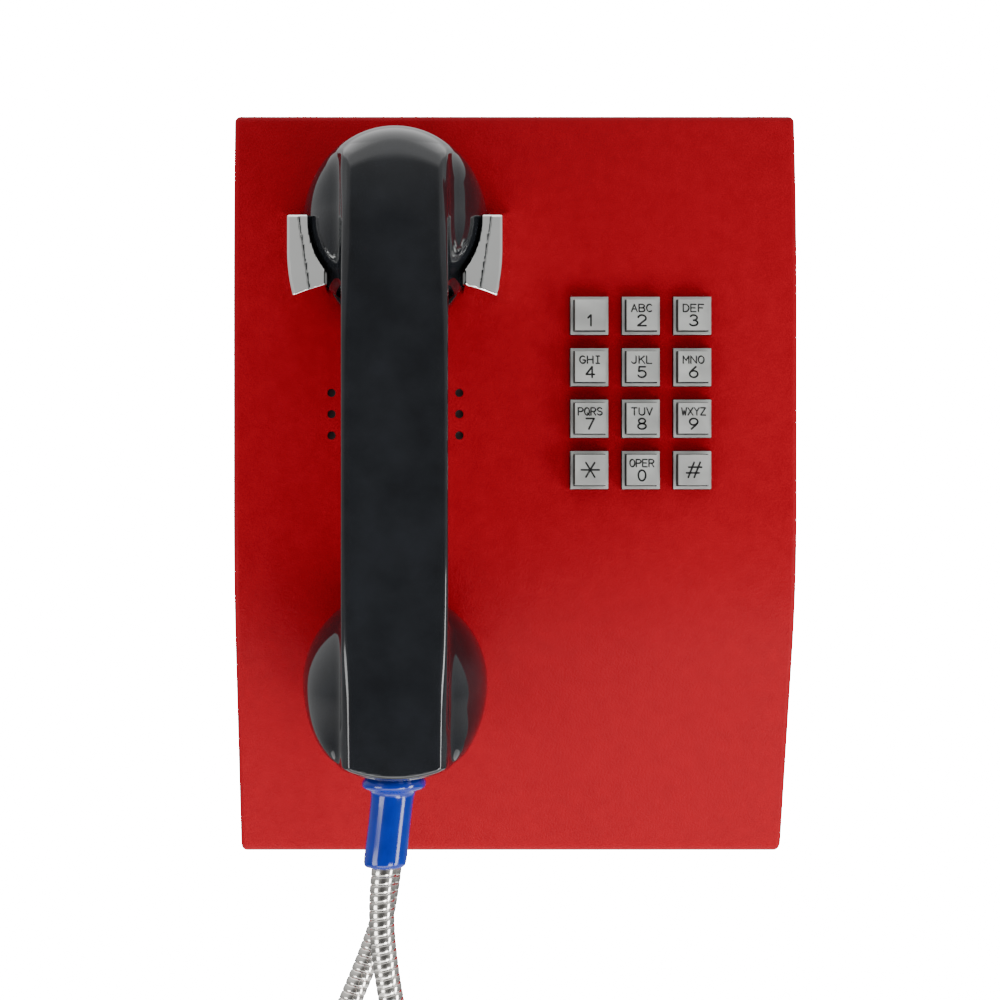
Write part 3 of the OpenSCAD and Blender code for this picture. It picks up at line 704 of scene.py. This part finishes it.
def make_handset():
    low, high = (np.array(c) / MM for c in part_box("handset_body"))
    points, faces, normals = surface_net(handset_field, low - 2, high + 2, 0.75)
    shell = mesh_object("handset_shell", points, faces, FINISH["handset_plastic"], "handset", normals=normals)
    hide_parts("handset_body")


# ---- cradle ----
def cradle_field(p):
    """Both prongs: a tapered block less the cup's seat, the lip, the inner faces, the throat and the arch."""
    x, h, z = np.abs(p[:, 0] - HAND_X), -p[:, 1], p[:, 2]
    above_panel = h - PANEL_H
    barrel = BARREL_IN * above_panel / PRONG_RISE * (np.maximum(BARREL_Z - z, 0) / BARREL_LEN) ** 2
    side = (x - PRONG_HALF) * PRONG_RISE + above_panel * PRONG_TAPER
    side = side / math.hypot(PRONG_RISE, PRONG_TAPER) + barrel
    tilted = PRONG_TILT * (x - PRONG_FRONT_X)
    front = (above_panel - PRONG_RISE + tilted) / math.hypot(1, PRONG_TILT)
    top = above_panel * PRONG_DROP + (z - PRONG_TOP) * PRONG_RISE
    top = top / math.hypot(PRONG_RISE, PRONG_DROP)
    body = smooth_max(smooth_max(side, front, 0.7), smooth_max(top, PRONG_FOOT - z, 0.7), 0.7)
    out = np.where(z > EAR_Z, x, np.hypot(x, z - EAR_Z))
    cavity = np.maximum(out - (CUP_R + CUP_GAP), h - CAVITY_H)
    lip = out - LIP_R
    crease = x - CREASE_X + (CREASE_Z - z) * CREASE_SLOPE
    inner_face = crease - (h - INNER_FACE_H) * INNER_FACE_SLOPE
    inner_face = inner_face / math.hypot(1, CREASE_SLOPE, INNER_FACE_SLOPE)
    inner_face = np.maximum(inner_face, PRONG_RISE - INNER_FACE_T - tilted - above_panel)
    throat = np.maximum(x - THROAT_HALF, z - EAR_Z)
    arch = np.hypot(x, z - (PRONG_FOOT + ARCH_RISE - ARCH_R)) - ARCH_R
    cut = np.minimum(np.minimum(np.minimum(cavity, lip), np.minimum(inner_face, throat)), arch)
    return smooth_max(smooth_max(body, -cut, 0.4), panel_h(z) - CRADLE_SINK - h, 0.1)


def make_cradle():
    low, high = (np.array(c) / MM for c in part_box("cradle_body"))
    points, faces, normals = surface_net(cradle_field, low, high, 0.45)
    cradle = mesh_object("cradle_casting", points, faces, FINISH["chrome"], "housing", normals=normals)
    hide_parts("cradle_body")


# ---- boot ----
def make_boot():
    """A flanged sleeve turned upright, then sheared to the lean of the hose."""
    profile = [(2.5, 6.5), (5.0, 6.5), (5.1, 1.5), (8.6, 1.3), (9.5, 0.9), (10.05, 0.1), (10.3, -0.8),
               (10.2, -1.6), (9.8, -2.2), (9.1, -2.6), (8.2, -2.9), (7.55, -3.3), (7.15, -3.9),
               (6.95, -5.0), (6.85, -8.0), (6.8, -14.0), (6.85, -20.0), (6.92, -24.8), (6.85, -26.2),
               (6.6, -27.1), (6.1, -27.6), (5.2, -27.8), (4.4, -27.7), (4.25, -27.0), (4.2, -20.0),
               (2.5, -19.5), (2.5, 6.5)]
    verts, faces = lathe(profile, BOOT_TOP, (0, 0, 1), 72)
    for v in verts:
        v.x += (v.z - BOOT_TOP.z) * math.tan(BOOT_LEAN)
    boot = mesh_object("boot_sleeve", verts, faces, FINISH["blue_boot"], "handset")
    consistent(boot)
    boot.data.set_sharp_from_angle(angle=math.radians(50))
    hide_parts("cord_boot")


# ---- key legends: single strokes ----
# Each letter's strokes, in a box 0.62 wide and 1 high
GLYPH_W = 0.62
GLYPHS = {
    "A": [[(0, 0), (.31, 1), (.62, 0)], [(.12, .36), (.5, .36)]],
    "B": [[(0, 0), (0, 1), (.34, 1)] + bow(.34, .76, .24, .24, 90, -90) + [(0, .52)],
          [(.34, .52)] + bow(.36, .26, .26, .26, 90, -90) + [(0, 0)]],
    "C": [bow(.33, .5, .33, .5, 50, 310, 16)],
    "D": [[(0, 0), (0, 1), (.25, 1)] + bow(.25, .5, .37, .5, 90, -90) + [(0, 0)]],
    "E": [[(.58, 0), (0, 0), (0, 1), (.58, 1)], [(0, .52), (.48, .52)]],
    "F": [[(0, 0), (0, 1), (.58, 1)], [(0, .52), (.46, .52)]],
    "G": [bow(.33, .5, .33, .5, 50, 325, 16) + [(.62, .45), (.36, .45)]],
    "H": [[(0, 0), (0, 1)], [(.62, 0), (.62, 1)], [(0, .52), (.62, .52)]],
    "I": [[(.12, 0), (.5, 0)], [(.12, 1), (.5, 1)], [(.31, 0), (.31, 1)]],
    "J": [[(.5, 1), (.5, .24)] + bow(.26, .24, .24, .24, 0, -170)],
    "K": [[(0, 0), (0, 1)], [(.58, 1), (0, .42)], [(.2, .62), (.62, 0)]],
    "L": [[(0, 1), (0, 0), (.55, 0)]],
    "M": [[(0, 0), (0, 1), (.31, .4), (.62, 1), (.62, 0)]],
    "N": [[(0, 0), (0, 1), (.62, 0), (.62, 1)]],
    "O": [bow(.31, .5, .31, .5, 0, 360, 24)],
    "P": [[(0, 0), (0, 1), (.34, 1)] + bow(.34, .74, .27, .26, 90, -90) + [(0, .48)]],
    "Q": [bow(.31, .5, .31, .5, 0, 360, 24), [(.36, .28), (.64, -.04)]],
    "R": [[(0, 0), (0, 1), (.34, 1)] + bow(.34, .74, .27, .26, 90, -90) + [(0, .48)],
          [(.3, .48), (.6, 0)]],
    "S": [bow(.31, .76, .28, .24, 25, 270, 12) + bow(.31, .26, .3, .26, 90, -155, 12)],
    "T": [[(0, 1), (.62, 1)], [(.31, 1), (.31, 0)]],
    "U": [[(0, 1), (0, .3)] + bow(.31, .3, .31, .3, 180, 360) + [(.62, 1)]],
    "V": [[(0, 1), (.31, 0), (.62, 1)]],
    "W": [[(0, 1), (.16, 0), (.31, .62), (.46, 0), (.62, 1)]],
    "X": [[(0, 0), (.62, 1)], [(0, 1), (.62, 0)]],
    "Y": [[(0, 1), (.31, .5), (.62, 1)], [(.31, .5), (.31, 0)]],
    "Z": [[(0, 1), (.62, 1), (0, 0), (.62, 0)]],
    "1": [[(.14, .74), (.36, 1), (.36, 0)]],
    "2": [bow(.31, .7, .3, .3, 165, -30, 12) + [(0, 0), (.62, 0)]],
    "3": [bow(.3, .75, .27, .25, 150, -90, 12) + bow(.3, .26, .31, .26, 90, -155, 12)],
    "4": [[(.45, 0), (.45, 1), (0, .28), (.62, .28)]],
    "5": [[(.56, 1), (.1, 1), (.06, .57)] + bow(.3, .32, .31, .32, 130, -155, 14)],
    "6": [[(.48, 1), (.2, .68)] + bow(.31, .31, .31, .31, 150, 510, 24)],
    "7": [[(0, 1), (.6, 1), (.2, 0)]],
    "8": [bow(.31, .76, .25, .24, 0, 360, 20), bow(.31, .26, .31, .26, 0, 360, 20)],
    "9": [[(.14, 0), (.42, .32)] + bow(.31, .69, .31, .31, -30, 330, 24)],
    "0": [bow(.31, .5, .28, .5, 0, 360, 24)],
    "*": [[(-.2, .5), (.82, .5)], [(.06, .02), (.56, .98)], [(.06, .98), (.56, .02)]],
    "#": [[(.0, .0), (.34, 1)], [(.34, .0), (.68, 1)], [(.02, .68), (.76, .68)], [(-.1, .3), (.62, .3)]],
}


def ribbon(points, half, y0, y1):
    """A closed bar from depth y0 to y1 along points (x, z), with round joints and ends."""
    parts = []
    for (xa, za), (xb, zb) in zip(points, points[1:]):
        d = math.hypot(xb - xa, zb - za)
        if d < 1e-6:
            continue
        nx, nz = -(zb - za) / d * half, (xb - xa) / d * half
        corners = [(xa + nx, za + nz), (xa - nx, za - nz), (xb - nx, zb - nz), (xb + nx, zb + nz)]
        verts = [(x, y, z) for y in (y0, y1) for x, z in corners]
        faces = [(0, 1, 2, 3), (7, 6, 5, 4), (0, 4, 5, 1), (1, 5, 6, 2), (2, 6, 7, 3), (3, 7, 4, 0)]
        parts.append((verts, faces))
    for x, z in points:
        parts.append(cylinder_mesh((x, (y0 + y1) / 2, z), (0, 1, 0), half, abs(y1 - y0), 10))
    return joined(parts)


def text_strokes(word, x, z, width, height, pitch):
    """The strokes of a word centred on x, with its baseline at z."""
    start = x - (pitch * (len(word) - 1) + width) / 2
    return [[(start + i * pitch + px / GLYPH_W * width, z + pz * height) for px, pz in stroke]
            for i, letter in enumerate(word) for stroke in GLYPHS[letter]]


KEYS = [("key_1", "1", ""), ("key_2", "2", "ABC"), ("key_3", "3", "DEF"),
        ("key_4", "4", "GHI"), ("key_5", "5", "JKL"), ("key_6", "6", "MNO"),
        ("key_7", "7", "PQRS"), ("key_8", "8", "TUV"), ("key_9", "9", "WXYZ"),
        ("key_star", "*", ""), ("key_0", "0", "OPER"), ("key_hash", "#", "")]


def make_legends():
    """Each key's dark digit and letters, with a painted highlight: a strip of brighter, smoother metal along
    each stroke's upper left, where an engraved edge would catch the light.
    """
    ink = material("legend_ink", (0.008, 0.008, 0.008), roughness=0.45, vary=0.3)
    # Painted highlight: brighter, smoother metal for the strips along the strokes' upper left edges
    lip = material("legend_painted_highlight", (0.92, 0.93, 0.90), metallic=1, roughness=0.25, vary=0.05)
    for i, (key, sign, word) in enumerate(KEYS):
        x = PAD_X + (i % 3 - 1) * KEY_PITCH
        z = PAD_Z + (1.5 - i // 3) * KEY_PITCH
        if sign in "*#":
            large = text_strokes(sign, x, z - 2.5, width=3.6, height=5.0, pitch=0)
        else:
            large = text_strokes(sign, x, z - 3.6, width=2.7, height=3.5, pitch=0)
        width, pitch = (1.6, 2.1) if len(word) > 3 else (1.85, 2.5)
        small = text_strokes(word, x, z + 1.0, width, height=2.4, pitch=pitch)
        ink_parts = [ribbon(s, DIGIT_HALF, KEY_FACE_Y - INK_PROUD, KEY_FACE_Y + INK_SUNK) for s in large]
        ink_parts += [ribbon(s, LETTER_HALF, KEY_FACE_Y - INK_PROUD, KEY_FACE_Y + INK_SUNK) for s in small]
        # Painted highlight strips: each stroke copied a little to its upper left
        lit = [[(px - HIGHLIGHT_SHIFT, pz + HIGHLIGHT_SHIFT) for px, pz in s] for s in large + small]
        highlight_parts = [ribbon(s, HIGHLIGHT_HALF, KEY_FACE_Y - HIGHLIGHT_PROUD, KEY_FACE_Y + HIGHLIGHT_SUNK) for s in lit]
        inked = sum(len(part[1]) for part in ink_parts)
        legend = mesh_object("legend_" + key[4:], *joined(ink_parts + highlight_parts), ink, key, smooth=False)
        legend.data.materials.append(lip)
        for polygon in legend.data.polygons[inked:]:
            polygon.material_index = 1


# ---- studio ----
def area_light(name, location, target, size, power):
    data = bpy.data.lights.new(name, "AREA")
    data.shape = "RECTANGLE"
    data.size, data.size_y = size
    data.energy = power
    light = bpy.data.objects.new(name, data)
    light.location = location
    light.rotation_euler = (Vector(target) - Vector(location)).to_track_quat("-Z", "Y").to_euler()
    light.visible_camera = False
    bpy.context.scene.collection.objects.link(light)


PAPER_WHITE = 22.0     # strong enough to print as white paper


def map_range(tree, source, low, high, dim, bright):
    """A node's output that goes from dim to bright as the source goes from low to high."""
    ramp = tree.nodes.new("ShaderNodeMapRange")
    ramp.inputs["From Min"].default_value = low
    ramp.inputs["From Max"].default_value = high
    ramp.inputs["To Min"].default_value = dim
    ramp.inputs["To Max"].default_value = bright
    tree.links.new(source, ramp.inputs["Value"])
    return ramp.outputs["Result"]


def make_studio():
    """A pale floor far below, four soft boxes, and a room that darkens in front and low down."""
    floor_mat = material("floor_paper", (0.82, 0.82, 0.82), roughness=0.9, vary=0.02,
                         rough_vary=0.02, scale=6)
    verts, faces = lathe([(0.0, 0.0), (1200.0, 0.0)], (0, 0, -750), (0, 0, 1), 96)
    floor = mesh_object("studio_floor", verts, faces, floor_mat, None)
    world = bpy.data.worlds.new("studio")
    bpy.context.scene.world = world
    world.use_nodes = True
    nodes, links = world.node_tree.nodes, world.node_tree.links
    nodes.clear()
    out = nodes.new("ShaderNodeOutputWorld")
    place = nodes.new("ShaderNodeTexCoord")
    split = nodes.new("ShaderNodeSeparateXYZ")
    links.new(place.outputs["Generated"], split.inputs["Vector"])
    both = nodes.new("ShaderNodeMath")
    both.operation = "MULTIPLY"
    links.new(map_range(world.node_tree, split.outputs["Y"], -0.98, -0.72, 0.26, 1.0), both.inputs[0])
    links.new(map_range(world.node_tree, split.outputs["Z"], -0.35, 0.50, 0.25, 0.93), both.inputs[1])
    ceiling = nodes.new("ShaderNodeMath")
    ceiling.operation = "ADD"
    links.new(both.outputs["Value"], ceiling.inputs[0])
    links.new(map_range(world.node_tree, split.outputs["Z"], 0.50, 0.60, 0.0, 1.0), ceiling.inputs[1])
    room = nodes.new("ShaderNodeBackground")
    room.inputs["Color"].default_value = (1, 1, 1, 1)
    links.new(ceiling.outputs["Value"], room.inputs["Strength"])
    paper = nodes.new("ShaderNodeBackground")
    paper.inputs["Color"].default_value = (1, 1, 1, 1)
    paper.inputs["Strength"].default_value = PAPER_WHITE
    rays = nodes.new("ShaderNodeLightPath")
    choose = nodes.new("ShaderNodeMixShader")
    links.new(rays.outputs["Is Camera Ray"], choose.inputs["Fac"])
    links.new(room.outputs["Background"], choose.inputs[1])
    links.new(paper.outputs["Background"], choose.inputs[2])
    links.new(choose.outputs["Shader"], out.inputs["Surface"])
    area_light("right_box", (0.95, -0.55, -0.45), (0, -0.06, -0.03), (0.32, 0.80), 12)
    area_light("left_box", (-0.90, -0.62, -0.38), (0, -0.06, 0), (0.50, 0.45), 6)
    area_light("low_box", (-0.05, -0.50, -0.70), (0, -0.05, -0.06), (0.9, 0.30), 3.5)
    area_light("front_low_box", (0.40, -0.80, -0.66), (0, -0.06, -0.05), (0.35, 0.30), 4.5)


make_camera()
make_hose()
paint_cad()
round_edges([key for key, sign, word in KEYS], width=0.5, segments=3)
round_edges(["keypad_frame", "hook_lever", "ear_cap", "mouth_cap"], width=0.3, segments=2)
round_edges(["cord_gland", "cover_screws", "back_plate"], width=0.3, segments=2)
make_housing()
make_handset()
make_cradle()
make_boot()
make_legends()
make_studio()
